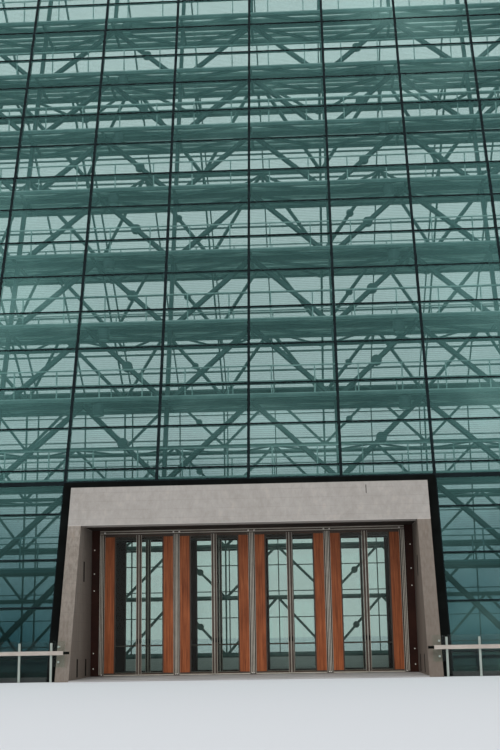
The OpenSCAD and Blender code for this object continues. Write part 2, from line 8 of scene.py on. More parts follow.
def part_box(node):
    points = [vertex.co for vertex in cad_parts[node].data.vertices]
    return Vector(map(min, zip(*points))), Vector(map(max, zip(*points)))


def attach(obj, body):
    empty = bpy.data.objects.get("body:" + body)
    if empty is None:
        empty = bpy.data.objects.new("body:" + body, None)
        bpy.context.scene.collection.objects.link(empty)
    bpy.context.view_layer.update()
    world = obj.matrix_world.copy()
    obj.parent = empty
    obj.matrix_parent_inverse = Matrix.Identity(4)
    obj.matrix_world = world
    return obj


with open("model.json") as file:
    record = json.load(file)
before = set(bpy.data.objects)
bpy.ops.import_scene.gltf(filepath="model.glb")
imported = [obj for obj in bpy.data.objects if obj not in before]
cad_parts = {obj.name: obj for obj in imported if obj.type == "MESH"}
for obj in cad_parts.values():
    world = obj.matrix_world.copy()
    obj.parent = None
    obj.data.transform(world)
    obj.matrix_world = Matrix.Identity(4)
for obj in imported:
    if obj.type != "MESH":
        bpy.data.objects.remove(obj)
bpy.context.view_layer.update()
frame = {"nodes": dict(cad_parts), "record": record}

print("frame loaded:", len(frame["nodes"]), "nodes")

# Lengths of the building that the fittings repeat, in metres
hall = {
    "bayWidth": 3.2,
    "lean": math.radians(18),
    "rowHeight": 1.668,  # measured up the slope, as firstRow is
    "firstRow": 0.796,
    "kerbOut": 0.06,
    "doorPost": 0.13,
    "edgeGap": 0.007,  # between a leaf and its post
    "middleGap": 0.009,  # between the two leaves of a pair
    "leafHalf": 0.032,  # half the thickness of a leaf, and the radius of its hinge edge
    "stile": 0.09,
    "edgeStile": 0.045,
    "timber": 0.34,
    "legWidth": 0.44,
    "portalOut": 0.3,  # how far the concrete stands out of the glass
    "deckFront": 1.0,  # from the glass back to the outer edge of the decks
    "levels": 9,
    "firstLevelRow": 2,
    "levelRows": 2,
    "levelDrop": 0.3,
}
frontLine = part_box("base_kerb")[0].y + hall["kerbOut"]  # where the glass meets the ground
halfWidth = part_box("right_wall")[0].x
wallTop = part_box("front_glass")[1].z
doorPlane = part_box("door_1_frame")[0].y
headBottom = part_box("door_1_frame")[1].z
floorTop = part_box("ground_floor")[1].z
unitWidth = (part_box("door_frame")[1].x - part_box("door_frame")[0].x - hall["doorPost"]) / 4
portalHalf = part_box("portal_legs")[1].x - hall["legWidth"]
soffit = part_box("portal_legs")[1].z


def shade(red, green, blue):  # a screen colour from 0 to 255 as linear light
    parts = [c / 255 for c in (red, green, blue)]
    return tuple(c / 12.92 if c <= 0.04045 else ((c + 0.055) / 1.055) ** 2.4 for c in parts) + (1,)


def darker(color, share):
    return tuple(c * share for c in color[:3]) + (1,)


class Flow:  # one output of a node, so that shader maths reads as a formula
    def __init__(self, paint, socket):
        self.paint = paint
        self.socket = socket

    def maths(self, operation, *values):
        return self.paint.node("ShaderNodeMath", {"operation": operation}, dict(enumerate(values)))

    def __add__(self, other):
        return self.maths("ADD", self, other)

    def __sub__(self, other):
        return self.maths("SUBTRACT", self, other)

    def __rsub__(self, other):
        return self.maths("SUBTRACT", other, self)

    def __mul__(self, other):
        return self.maths("MULTIPLY", self, other)

    def __abs__(self):
        return self.maths("ABSOLUTE", self)

    def __gt__(self, other):
        return self.maths("GREATER_THAN", self, other)

    def __lt__(self, other):
        return self.maths("LESS_THAN", self, other)

    def wrap(self, period):
        return self.maths("WRAP", self, period, 0.0)

    def either(self, other):
        return self.maths("MAXIMUM", self, other)

    def clamp(self):
        return self.maths("MINIMUM", self.either(0.0), 1.0)

    __radd__ = __add__
    __rmul__ = __mul__


class Paint:  # one material, or the world, and the nodes that make it
    def __init__(self, holder):
        self.holder = holder
        self.holder.use_nodes = True
        self.tree = self.holder.node_tree
        self.tree.nodes.clear()

    def node(self, kind, settings=None, sockets=None, out=0):
        made = self.tree.nodes.new(kind)
        for name, value in (settings or {}).items():
            setattr(made, name, value)
        for key, value in (sockets or {}).items():
            if isinstance(value, Flow):
                self.tree.links.new(value.socket, made.inputs[key])
            else:
                made.inputs[key].default_value = value
        return Flow(self, made.outputs[out]) if len(made.outputs) else made

    def place(self):
        return self.node("ShaderNodeTexCoord", out="Object")

    def axis(self, name):
        return self.node("ShaderNodeSeparateXYZ", None, {"Vector": self.place()}, name)

    def stretched(self, x, y, z):
        return self.node("ShaderNodeVectorMath", {"operation": "MULTIPLY"}, {0: self.place(), 1: (x, y, z)})

    def noise(self, scale, detail=4, rough=0.55, where=None):
        sockets = {"Vector": where or self.place(), "Scale": scale, "Detail": detail, "Roughness": rough}
        return self.node("ShaderNodeTexNoise", None, sockets)

    def cells(self, scale):
        return self.node("ShaderNodeTexVoronoi", None, {"Vector": self.place(), "Scale": scale}, "Distance")

    def mix(self, factor, low, high):
        return self.node("ShaderNodeMix", {"data_type": "RGBA"}, {0: factor, 6: low, 7: high}, 2)

    def ramp(self, value, low, high):
        return self.node("ShaderNodeMapRange", None, {"Value": value, "From Min": low, "From Max": high})

    def bump(self, height, strength, distance):
        sockets = {"Height": height, "Strength": strength, "Distance": distance}
        return self.node("ShaderNodeBump", None, sockets)

    def blend(self, factor, low, high):
        return self.node("ShaderNodeMixShader", None, {0: factor, 1: low, 2: high})

    def solid(self, sockets):
        return self.node("ShaderNodeBsdfPrincipled", None, sockets)

    def clear(self, color):
        return self.node("ShaderNodeBsdfTransparent", None, {"Color": color})

    def mirror(self, color, rough, normal):
        sockets = {"Color": color, "Roughness": rough, "Normal": normal}
        return self.node("ShaderNodeBsdfGlossy", None, sockets)

    def done(self, surface, output="ShaderNodeOutputMaterial"):
        self.node(output, None, {"Surface": surface})
        return self.holder


def castConcrete(paint, look):
    cloud = paint.noise(0.8, 5, 0.6)
    blotch = paint.noise(5, 4, 0.6, paint.stretched(1, 1, 0.6))
    grain = paint.noise(42, 3, 0.7)
    pores = paint.cells(24) < 0.12
    streak = paint.noise(1, 5, 0.6, paint.stretched(15, 15, 0.5))  # runs of rain down the face
    soft = cloud * 0.35 + blotch * 0.4 + grain * 0.25
    tone = paint.ramp(soft * (1 - look["streaks"]) + streak * look["streaks"], 0.36, 0.64)
    color = paint.mix(tone, look["stain"], look["base"])
    color = paint.mix(paint.ramp(blotch, 0.55, 0.75) * 0.5, color, look["warm"])
    up = paint.axis("Z")
    thin = 0.012
    board = up.wrap(look["board"]) < thin  # lines that the form boards left
    color = paint.mix(board * 0.22, color, darker(look["stain"], 0.5))
    color = paint.mix(pores * 0.4, color, darker(look["stain"], 0.45))
    height = grain * 0.4 - pores * 0.8 - board * 0.5
    if "dirtAndShade" in look:  # darker towards the foot, and painted shade darker on the right leg, the side in shadow
        dirtAndShade = look["dirtAndShade"]
        low = paint.ramp(up + cloud * 3, dirtAndShade["top"], dirtAndShade["foot"])
        color = paint.mix(low * 0.6, color, dirtAndShade["color"])
        # painted shade: darker towards +x, so the right leg is shaded
        shadedSide = paint.ramp(paint.axis("X"), *dirtAndShade["side"])
        color = paint.mix(shadedSide * 0.5, color, dirtAndShade["color"])
    if "recess" in look:  # painted shade, darker deeper in the recess towards the doors
        shadow = look["recess"]
        deep = paint.ramp(paint.axis("Y") + streak * 0.8, shadow["from"], shadow["to"])
        color = paint.mix(deep * 0.7, color, shadow["color"])
    if "seam" in look:  # pale line between the legs and the lintel
        seam = abs(up - look["seam"]) < thin
        color = paint.mix(seam * 0.8, color, darker(look["base"], 1.25))
    if "panel" in look:  # joints between the cast panels of the side walls
        panel = look["panel"]
        across = paint.axis("Y").wrap(panel["width"]) < panel["joint"]
        joint = across.either(up.wrap(panel["height"]) < panel["joint"])
        color = paint.mix(joint * 0.75, color, darker(look["stain"], 0.3))
        height = height - joint * 3
    relief = paint.bump(height, 0.5, 0.004)
    rough = paint.ramp(grain, 0.2, 0.8) * 0.2 + 0.68
    return paint.solid({
        "Base Color": color, "Roughness": rough, "Normal": relief, "Specular IOR Level": 0.3})


def coatedSteel(paint, look):
    cloud = paint.noise(1.6, 4, 0.6)
    fine = paint.noise(70, 2, 0.5)
    color = paint.mix(paint.ramp(cloud, 0.4, 0.7), look["base"], look["dust"])
    relief = paint.bump(fine, 0.12, 0.001)
    worn = paint.ramp(cloud * 0.7 + fine * 0.3, 0.3, 0.7) * 0.18 + look["rough"]
    return paint.solid({
        "Base Color": color, "Roughness": worn, "Normal": relief, "Specular IOR Level": look["shine"]})


def brushedMetal(paint, look):
    lines = paint.noise(1, 3, 0.6, paint.stretched(*look["stretch"]))
    cloud = paint.noise(2.5, 3, 0.5)
    color = paint.mix(paint.ramp(lines * 0.7 + cloud * 0.3, 0.35, 0.65), look["base"], look["streak"])
    relief = paint.bump(lines, 0.15, 0.0006)
    polish = paint.ramp(lines, 0.3, 0.7) * 0.15 + look["rough"]
    return paint.solid({
        "Base Color": color, "Roughness": polish, "Metallic": look["metal"], "Normal": relief})


def oiledTimber(paint, look):
    rings = paint.noise(1, 6, 0.62, paint.stretched(24, 24, 0.8))
    fibre = paint.noise(1, 4, 0.6, paint.stretched(180, 180, 5))
    cloud = paint.noise(1.1, 3, 0.5)
    grain = paint.ramp(rings * 0.6 + fibre * 0.22 + cloud * 0.18, 0.38, 0.64)
    color = paint.mix(grain, look["dark"], look["light"])
    streak = paint.ramp(paint.noise(1, 5, 0.65, paint.stretched(60, 60, 1.1)), 0.57, 0.72)
    color = paint.mix(streak * 0.45, color, look["streak"])
    boards = paint.axis("X").wrap(look["board"]) < 0.003
    color = paint.mix(boards * 0.5, color, darker(look["dark"], 0.4))
    relief = paint.bump(fibre * 0.5 + rings * 0.3 - boards * 2, 0.35, 0.0015)
    satin = paint.ramp(fibre, 0.3, 0.7) * 0.16 + 0.48
    return paint.solid({
        "Base Color": color, "Roughness": satin, "Normal": relief, "Specular IOR Level": 0.25})


def windowGlass(paint, look):
    # Fine printed lines that dim the pane
    lines = paint.axis("Z").wrap(look["frit"]) < look["frit"] * 0.4
    dimmed = paint.clear(darker(look["tint"], 0.88))
    through = paint.blend(lines * look["fritShare"], paint.clear(look["tint"]), dimmed)
    strength = look["shine"]
    if "sides" in look:  # brighter reflections beside the middle of the wall
        sides = look["sides"]
        beside = paint.ramp(abs(paint.axis("X")), *sides["span"])
        under = 1 - paint.ramp(paint.axis("Z"), *sides["top"])
        strength = strength + beside * under * sides["shine"]
    if "low" in look:  # painted shade: darker view through, and a weaker reflection, near the ground
        wander = paint.noise(0.35, 3, 0.5) * look["wander"]
        height = paint.ramp(paint.axis("Z") + wander, look["lowFrom"], look["lowTo"])
        through = paint.blend(height, paint.clear(look["low"]), through)
        strength = strength * (height * (1 - look["lowShine"]) + look["lowShine"])
    # Painted reflection: soft cloud patches painted on the outer face alone, over its mirror of the even
    # white sky, and they strengthen the reflection where they lie
    paintedClouds = paint.ramp(paint.noise(0.13, 4, 0.55, paint.stretched(1, 1, 1.5)), 0.53, 0.72)
    ripple = paint.bump(paint.noise(0.5, 2, 0.5), 0.02, 0.02)
    plain, cloudy = (paint.mirror(look[key], 0.03, ripple) for key in ("veil", "cloud"))
    gloss = paint.blend(paintedClouds, plain, cloudy)
    fresnel = paint.node("ShaderNodeFresnel", None, {"IOR": 1.5})
    outside = 1 - paint.node("ShaderNodeNewGeometry", None, None, "Backfacing")
    return paint.blend((fresnel * outside * (paintedClouds * look["cloudReflection"] + strength)).clamp(), through, gloss)


def palePaving(paint, look):
    across = paint.axis("X").wrap(look["slab"][0]) < look["joint"]
    joint = across.either(paint.axis("Y").wrap(look["slab"][1]) < look["joint"])
    grain = paint.noise(60, 3, 0.6)
    cloud = paint.noise(0.8, 4, 0.5)
    color = paint.mix(paint.ramp(grain * 0.4 + cloud * 0.6, 0.35, 0.65), look["dark"], look["light"])
    color = paint.mix(joint * 0.6, color, darker(look["dark"], 0.4))
    relief = paint.bump(grain * 0.3 - joint, 0.4, 0.002)
    return paint.solid({"Base Color": color, "Roughness": grain * 0.2 + 0.6, "Normal": relief})


def innerLeaf(paint, look):  # one node holds the frame, the timber and the pane of an inner leaf
    depth = abs(paint.axis("Y") - (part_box("inner_door_1")[0].y + hall["leafHalf"]))
    fromPost = abs((paint.axis("X") + unitWidth / 2).wrap(unitWidth) - unitWidth / 2)
    timberStart = hall["doorPost"] / 2 + hall["edgeGap"] + hall["edgeStile"]
    low, high = look["timberDepth"]
    isTimber = (depth < high) * (depth > low) * (fromPost > timberStart - look["timberSpare"])
    isPane = (depth < look["paneDepth"]) * (fromPost > timberStart + hall["timber"] + look["paneClear"])
    body = paint.blend(isTimber, brushedMetal(paint, look["metal"]), oiledTimber(paint, look["timber"]))
    return paint.blend(isPane, body, windowGlass(paint, look["pane"]))


def lampLens(paint, look):
    ribs = paint.noise(90, 2, 0.5)
    glow = paint.mix(paint.ramp(ribs, 0.3, 0.7), look["low"], look["high"])
    return paint.solid({
        "Base Color": glow, "Emission Color": glow, "Emission Strength": look["power"], "Roughness": 0.3})


# Looks that more than one finish starts from
bronzeLook = {
    "base": shade(58, 46, 38), "streak": shade(86, 70, 59), "rough": 0.45,
    "stretch": (120, 120, 4), "metal": 0.3}
timberLook = {
    "dark": shade(113, 56, 29), "light": shade(188, 108, 66), "streak": shade(204, 136, 92), "board": 0.115}
paneLook = {
    "tint": (0.92, 0.955, 0.935, 1), "veil": (0.9, 1, 0.97, 1), "cloud": (1, 1, 1, 1),
    "shine": 0.3, "cloudReflection": 0.4, "frit": 0.076, "fritShare": 0}
sheetLook = {
    "tint": (0.81, 0.86, 0.857, 1), "veil": (0.34, 0.81, 0.77, 1), "cloud": (0.5, 1, 0.93, 1),
    "shine": 1.75, "cloudReflection": 1.6, "frit": 0.076, "fritShare": 1}


def finish(name, maker, look):
    paint = Paint(bpy.data.materials.new(name))
    return paint.done(maker(paint, look))


# The finish of each material slot
finishes = {
    "portal_concrete": finish("Portal concrete", castConcrete, {
        "base": shade(176, 171, 166), "stain": shade(152, 146, 139), "warm": shade(178, 166, 156),
        "board": 0.31, "streaks": 0.15, "seam": soffit}),
    "wall_concrete": finish("Wall concrete", castConcrete, {
        "base": shade(150, 148, 144), "stain": shade(124, 122, 118), "warm": shade(146, 140, 132),
        "board": 0.31, "streaks": 0.3, "panel": {"width": 3.2, "height": 3.17, "joint": 0.02}}),
    "dark_concrete": finish("Kerb concrete", castConcrete, {
        "base": shade(70, 72, 72), "stain": shade(50, 52, 52), "warm": shade(66, 64, 60),
        "board": 0.31, "streaks": 0.1}),
    "dark_soffit": finish("Soffit", castConcrete, {
        "base": shade(54, 45, 38), "stain": shade(38, 31, 26), "warm": shade(54, 42, 34),
        "board": 0.31, "streaks": 0.1}),
    "paving": finish("Paving", palePaving, {
        "dark": shade(150, 148, 146), "light": shade(178, 176, 173), "slab": (1.2, 0.6), "joint": 0.006}),
    "black_steel": finish("Black steel", coatedSteel, {
        "base": shade(9, 11, 10), "dust": shade(17, 20, 19), "rough": 0.55, "shine": 0.03}),
    "dark_panel": finish("Side panel", coatedSteel, {
        "base": shade(44, 22, 16), "dust": shade(58, 32, 24), "rough": 0.45, "shine": 0.15}),
    "bronze": finish("Bronze", brushedMetal, bronzeLook),
    "timber": finish("Timber", oiledTimber, timberLook),
    "clear_glass": finish("Clear glass", windowGlass, paneLook),
    "green_glass": finish("Green glass", windowGlass, sheetLook),
    "grey_frame": finish("Grey frame", coatedSteel, {
        "base": shade(26, 31, 33), "dust": shade(36, 42, 44), "rough": 0.45, "shine": 0.15}),
    "black_gasket": finish("Black gasket", coatedSteel, {
        "base": shade(14, 24, 27), "dust": shade(24, 36, 39), "rough": 0.5, "shine": 0.08}),
    "truss_steel": finish("Truss steel", coatedSteel, {
        "base": shade(58, 80, 78), "dust": shade(74, 97, 94), "rough": 0.45, "shine": 0.25}),
    # painted light: pale streaks for daylight through the gaps of the grating seen from below, and a base
    # lightened against the shade under the decks
    "grating_steel": finish("Grating steel", brushedMetal, {
        "base": shade(112, 142, 137), "streak": shade(196, 222, 216), "rough": 0.6,
        "stretch": (0.25, 4.5, 4.5), "metal": 0}),
    "guard_steel": finish("Guard steel", brushedMetal, {
        "base": shade(150, 160, 152), "streak": shade(188, 196, 188), "rough": 0.35,
        "stretch": (90, 90, 5), "metal": 0.6}),
    "rail_bronze": finish("Rail bronze", brushedMetal, {
        "base": shade(172, 160, 150), "streak": shade(204, 194, 184), "rough": 0.4,
        "stretch": (4, 90, 90), "metal": 0.2}),
}
paleFrame = finish("Pale frame", coatedSteel, {
    "base": shade(96, 118, 114), "dust": shade(118, 140, 135), "rough": 0.5, "shine": 0.15})

# Nodes whose finish differs from the rest of their slot
special = {
    "front_glass": finish("Front glass", windowGlass, {
        **sheetLook, "sides": {"span": (4, 9), "top": (15, 23), "shine": 1.2},
        # painted shade darkens the view through the lower part of the wall
        "low": (0.17, 0.3, 0.335, 1), "lowFrom": 2.6, "lowTo": 9.5, "lowShine": 0.15, "wander": 3.2}),
    "roof_glass": finish("Roof glass", windowGlass, {
        **sheetLook, "tint": (0.81, 0.87, 0.862, 1), "fritShare": 0,
        # painted shade darkens the view through the lower part of the roof
        "low": (0.66, 0.72, 0.72, 1), "lowFrom": 17, "lowTo": 32, "lowShine": 1, "wander": 2}),
    "rear_glass": finish("Rear glass", windowGlass, {
        **sheetLook, "tint": (0.66, 0.72, 0.72, 1), "fritShare": 0}),
    "rear_frame": paleFrame,
    "roof_frame": paleFrame,
    # painted light: the truss steel made paler for the bracing, against the shade under the decks
    "truss_bracing": finish("Bracing steel", coatedSteel, {
        "base": shade(88, 116, 112), "dust": shade(112, 140, 135), "rough": 0.5, "shine": 0.2}),
    # painted light: the truss steel made paler for the rear truss, as it shows against the bright rear
    # glass
    "truss_inner": finish("Rear truss steel", coatedSteel, {
        "base": shade(92, 122, 117), "dust": shade(114, 144, 138), "rough": 0.5, "shine": 0.2}),
    "portal_legs": finish("Leg concrete", castConcrete, {
        "base": shade(164, 156, 147), "stain": shade(126, 117, 107), "warm": shade(150, 134, 120),
        "board": 0.31, "streaks": 0.6, "seam": soffit,
        # painted shade darkens the right leg over x from 0 to 3 m, beside the darkening towards the foot
        "dirtAndShade": {"top": 7.5, "foot": 1, "side": (0, 3), "color": shade(104, 92, 82)},
        # painted shade deep in the recess, darker towards the doors
        "recess": {"from": doorPlane - 1.5, "to": doorPlane + 0.5, "color": shade(74, 66, 60)}}),
}
# painted shade: the inner leaves take darker copies of the bronze and timber for the shade of the vestibule
shadedInnerFinish = finish("Inner leaf in painted shade", innerLeaf, {
    "timberDepth": (0.02, 0.029), "timberSpare": 0.003, "paneDepth": 0.01, "paneClear": 0.03,
    "metal": {**bronzeLook, "base": shade(40, 33, 28), "streak": shade(58, 48, 42)},
    "timber": {
        **timberLook, "dark": shade(26, 13, 8), "light": shade(44, 24, 16), "streak": shade(56, 32, 22)},
    "pane": paneLook})
for number in range(1, 9):
    special["inner_door_%d" % number] = shadedInnerFinish

# Finishes of the fittings that have their own
lampFinish = finish("Lamp lens", lampLens, {
    "low": shade(200, 196, 184), "high": shade(232, 228, 216), "power": 0.25})
# painted highlights: pale strips along the edges of the door posts, head and leaves
highlightFinish = finish("Painted highlight strips", brushedMetal, {
    "base": shade(168, 160, 146), "streak": shade(206, 200, 186), "rough": 0.35,
    "stretch": (120, 120, 4), "metal": 0.2})
coverFinish = finish("Pivot covers", coatedSteel, {
    "base": shade(226, 222, 214), "dust": shade(206, 201, 193), "rough": 0.4, "shine": 0.4})

for part in frame["record"]["subparts"]:
    chosen = special.get(part["node"], finishes[part["material_slot"]])
    for place in frame["nodes"][part["node"]].material_slots:
        place.material = chosen
print("finishes on the building:", len(finishes), "for slots and", len(special), "for nodes")


class Stock:  # gathers many small shapes into one mesh
    def __init__(self):
        self.points = []
        self.faces = []

    def add(self, points, faces):
        first = len(self.points)
        self.points += [tuple(p) for p in points]
        self.faces += [[first + i for i in face] for face in faces]

    def block(self, middle, size, turn=Matrix.Identity(3)):
        half = Vector(size) / 2
        corners = [turn @ Vector((x * half.x, y * half.y, z * half.z)) + Vector(middle)
                   for x in (-1, 1) for y in (-1, 1) for z in (-1, 1)]
        self.add(corners, [
            (0, 1, 3, 2), (4, 6, 7, 5), (0, 4, 5, 1), (2, 3, 7, 6), (0, 2, 6, 4), (1, 5, 7, 3)])

    def box(self, low, high):
        low, high = Vector(low), Vector(high)
        self.block((low + high) / 2, high - low)

    def lathe(self, start, end, profile, sides):  # profile holds (share of the length, radius)
        start, end = Vector(start), Vector(end)
        turn = (end - start).to_track_quat("Z", "Y").to_matrix()
        rings = []
        for share, radius in profile:
            middle = start.lerp(end, share)
            rings += [middle + turn @ Vector((radius * math.cos(a), radius * math.sin(a), 0))
                      for a in (2 * math.pi * i / sides for i in range(sides))]
        faces = []
        for ring in range(len(profile) - 1):
            near, far = ring * sides, (ring + 1) * sides
            faces += [(near + i, near + (i + 1) % sides, far + (i + 1) % sides, far + i)
                      for i in range(sides)]
        last = (len(profile) - 1) * sides
        faces += [tuple(reversed(range(sides))), tuple(range(last, last + sides))]
        self.add(rings, faces)

    def stud(self, middle, toward, radius, height, sides=16):  # a domed round head that stands on a face
        start = Vector(middle)
        dome = [(0, radius), (0.5, radius), (0.85, radius * 0.8), (1, radius * 0.45)]
        self.lathe(start, start + Vector(toward) * height, dome, sides)

    def piece(self, name, finishSlot, body="hall", bevel=0.0, material=None):
        mesh = bpy.data.meshes.new(name)
        mesh.from_pydata(self.points, [], self.faces)
        mesh.validate()
        made = bpy.data.objects.new(name, mesh)
        bpy.context.scene.collection.objects.link(made)
        mesh.materials.append(material or finishes[finishSlot])
        if bevel:
            edges = made.modifiers.new("edges", "BEVEL")
            edges.width = bevel
            edges.segments = 1
        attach(made, body)
        return made


def onGlass(x, length, out):  # a point by its length up the front's slope and its distance out of it
    up = length * math.cos(hall["lean"]) + out * math.sin(hall["lean"])
    back = length * math.sin(hall["lean"]) - out * math.cos(hall["lean"])
    return Vector((x, frontLine + back, up))


def atDoor(x, out, z):  # a point in front of the doors' plane
    return Vector((x, doorPlane - out, z))


outward = (0, -1, 0)
leanTurn = Matrix.Rotation(-hall["lean"], 3, "X")
coverTurn = Matrix.Rotation(math.pi / 2 - hall["lean"], 3, "X")
wallLength = wallTop / math.cos(hall["lean"])
rowCount = int((wallLength - hall["firstRow"]) / hall["rowHeight"])

# Clips on the outside caps of the transoms
clips = {
    "pitch": 0.267,
    "size": (0.05, 0.012, 0.03),
    "out": 0.019,
    "edge": 0.25,  # clear of the side walls
    "portalSide": 0.05,
    "portalTop": 0.1,
    "nearMullion": 0.02,  # share of a bay that stays clear
}


def transomClips():
    stock = Stock()
    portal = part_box("portal_surround")
    count = int((halfWidth - clips["edge"]) / clips["pitch"])
    for row in range(rowCount + 1):
        length = hall["firstRow"] + row * hall["rowHeight"]
        for step in range(-count, count + 1):
            middle = onGlass(step * clips["pitch"], length, clips["out"])
            beside = abs(middle.x) > portal[1].x + clips["portalSide"]
            above = middle.z > portal[1].z + clips["portalTop"]
            bays = middle.x / hall["bayWidth"]
            if (beside or above) and abs(bays - round(bays)) > clips["nearMullion"]:
                stock.block(middle, clips["size"], leanTurn)
    stock.piece("transom_clips", "black_gasket")


# Cover strips on the mullions, over the outside caps
mullionCover = {
    "width": 0.1,
    "thick": 0.01,
    "out": 0.014,
    "foot": 0.3,
    "portalSide": 0.1,
    "portalTop": 0.02,
}


def mullionCovers():
    stock = Stock()
    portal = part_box("portal_surround")
    bays = round(halfWidth / hall["bayWidth"])
    top = wallLength - mullionCover["width"]
    for bay in range(1 - bays, bays):
        x = bay * hall["bayWidth"]
        foot = mullionCover["foot"]
        if abs(x) < portal[1].x + mullionCover["portalSide"]:
            foot = portal[1].z / math.cos(hall["lean"]) + mullionCover["portalTop"]
        middle = onGlass(x, (foot + top) / 2, mullionCover["out"])
        stock.block(middle, (mullionCover["width"], top - foot, mullionCover["thick"]), coverTurn)
    stock.piece("mullion_covers", "black_gasket")


# Pale strips on the tubes of the door posts and along the head, painted highlights on their edges, and
# round pivot covers
doorHighlightAndPivot = {
    "width": 0.026,
    "thick": 0.004,
    "foot": 0.05,
    "headLines": (0.035, 0.115),
    "coverRadius": 0.032,
    "coverOut": 0.016,
    "coverUp": 0.07,
    "footCoverShare": 0.7,
}


def doorHighlightsAndPivots():
    strips, covers = Stock(), Stock()
    post, thick, width = hall["doorPost"] / 2, doorHighlightAndPivot["thick"], doorHighlightAndPivot["width"]
    radius, out, foot = doorHighlightAndPivot["coverRadius"], doorHighlightAndPivot["coverOut"], floorTop + doorHighlightAndPivot["foot"]
    left, right = -2 * unitWidth - post, 2 * unitWidth + post
    for unit in range(-2, 3):
        # painted highlights: pale strips at both edges and the middle of each post
        for start in (-post, -width / 2, post - width):
            x = unit * unitWidth + start
            strips.box(atDoor(x, thick, foot), atDoor(x + width, 0, headBottom))
        for side in (-1, 1):
            if abs(unit + side * 0.5) < 2:
                hinge = unit * unitWidth + side * (post + hall["edgeGap"] + hall["leafHalf"])
                tube = unit * unitWidth + side * post / 2
                covers.stud(atDoor(hinge, 0, headBottom + doorHighlightAndPivot["coverUp"]), outward, radius, out)
                covers.stud(atDoor(tube, 0, foot), outward, radius * doorHighlightAndPivot["footCoverShare"], out)
    for line in doorHighlightAndPivot["headLines"]:
        strips.box(atDoor(left, thick, headBottom + line), atDoor(right, 0, headBottom + line + width))
    strips.piece("door_trim", "rail_bronze", material=highlightFinish)
    covers.piece("pivot_covers", "guard_steel", material=coverFinish)


# Pale strips along the edges and foot of one door leaf, painted highlights, and its lock plate
leafHighlightAndLock = {
    "width": 0.012,
    "inset": 0.02,
    "foot": 0.035,
    "thick": 0.003,
    "low": 0.014,
    "high": 0.012,
    "hingeClear": 0.001,
    "lockSpan": (0.07, 0.02),  # from the meeting edge
    "lockHeight": 1.13,
    "lockTall": 0.16,
    "lockThick": 0.006,
    "lockEdge": 0.0015,
}


def leafHighlightsAndLocks(number, body, plane, name):
    unit = math.ceil(number / 2) - 3
    side = 1 if number % 2 else -1
    edge = (unit if side > 0 else unit + 1) * unitWidth + side * (hall["doorPost"] / 2 + hall["edgeGap"])
    leaf = (unitWidth - hall["doorPost"] - 2 * hall["edgeGap"] - hall["middleGap"]) / 2
    bottom, top = floorTop + leafHighlightAndLock["low"], headBottom - leafHighlightAndLock["high"]
    width, inset, clear = leafHighlightAndLock["width"], leafHighlightAndLock["inset"], leafHighlightAndLock["hingeClear"]
    strips, plates = Stock(), Stock()

    def flat(stock, start, end, low, high, thick):
        xs = sorted((edge + side * start, edge + side * end))
        stock.box((xs[0], plane - thick, low), (xs[1], plane, high))

    for start in (leaf - hall["stile"], leaf - width):
        flat(strips, start, start + width, bottom, top, leafHighlightAndLock["thick"])
    flat(strips, hall["leafHalf"] + clear, hall["edgeStile"] - clear, bottom, top, leafHighlightAndLock["thick"])
    flat(strips, inset, leaf - inset, bottom, bottom + leafHighlightAndLock["foot"], leafHighlightAndLock["thick"])
    near, far = leafHighlightAndLock["lockSpan"]
    low, high = leafHighlightAndLock["lockHeight"], leafHighlightAndLock["lockHeight"] + leafHighlightAndLock["lockTall"]
    flat(plates, leaf - near, leaf - far, low, high, leafHighlightAndLock["lockThick"])
    strips.piece("%s_trim_%d" % (name, number), "rail_bronze", body, material=highlightFinish)
    plates.piece("%s_lock_%d" % (name, number), "black_steel", body, leafHighlightAndLock["lockEdge"])


# Small lights up the side panels, and flush covers in the legs and the lintel
recess = {
    "lightHeights": (0.3, 0.82, 2.96, 3.55, 4.38),
    "lightIn": 0.1,
    "lightRadius": 0.02,
    "lightOut": 0.012,
    "cover": 0.003,
    "coverWidth": 0.2,
    "covers": ((1.08, 0.1, 0.68), (2.55, 0.1, 0.66), (2.02, 3.22, 3.9)),  # distance back, foot and head
    "slot": {"x": 4.01, "low": 5.98, "high": 6.3, "width": 0.022},
}


def recessFittings():
    lights, covers = Stock(), Stock()
    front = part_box("portal_infill")[0].y
    thick, width = recess["cover"], recess["coverWidth"]
    for side in (-1, 1):
        x = side * (portalHalf - recess["lightIn"])
        for z in recess["lightHeights"]:
            lights.stud((x, front, z), outward, recess["lightRadius"], recess["lightOut"])
        for back, low, high in recess["covers"]:
            near = frontLine + back - width / 2
            face, inner = side * portalHalf, side * (portalHalf - thick)
            covers.box((min(face, inner), near, low), (max(face, inner), near + width, high))
    slot = recess["slot"]
    middle = (slot["low"] + slot["high"]) / 2
    length = (middle - hall["portalOut"] * math.sin(hall["lean"])) / math.cos(hall["lean"])
    covers.block(onGlass(slot["x"], length, hall["portalOut"] + thick / 2),
                 (slot["width"], thick, slot["high"] - slot["low"]), leanTurn)
    lights.piece("recess_lights", "guard_steel", material=lampFinish)
    covers.piece("flush_covers", "black_steel")


# Round lamps under the outer edge of each front deck
deckLamps = {
    "x": 5.7,
    "radius": 0.23,
    "height": 0.5,
    "hang": 0.06,
    "profile": ((0, 0.5), (0.12, 0.9), (0.2, 1), (0.94, 1), (1, 0.93)),  # shares of height and radius
    "lens": 0.012,
    "lensProfile": ((0, 0.85), (1, 0.8)),
    "sides": 20,
}


def deckHeight(level):
    rows = hall["firstLevelRow"] + (level - 1) * hall["levelRows"]
    return (hall["firstRow"] + rows * hall["rowHeight"]) * math.cos(hall["lean"]) - hall["levelDrop"]


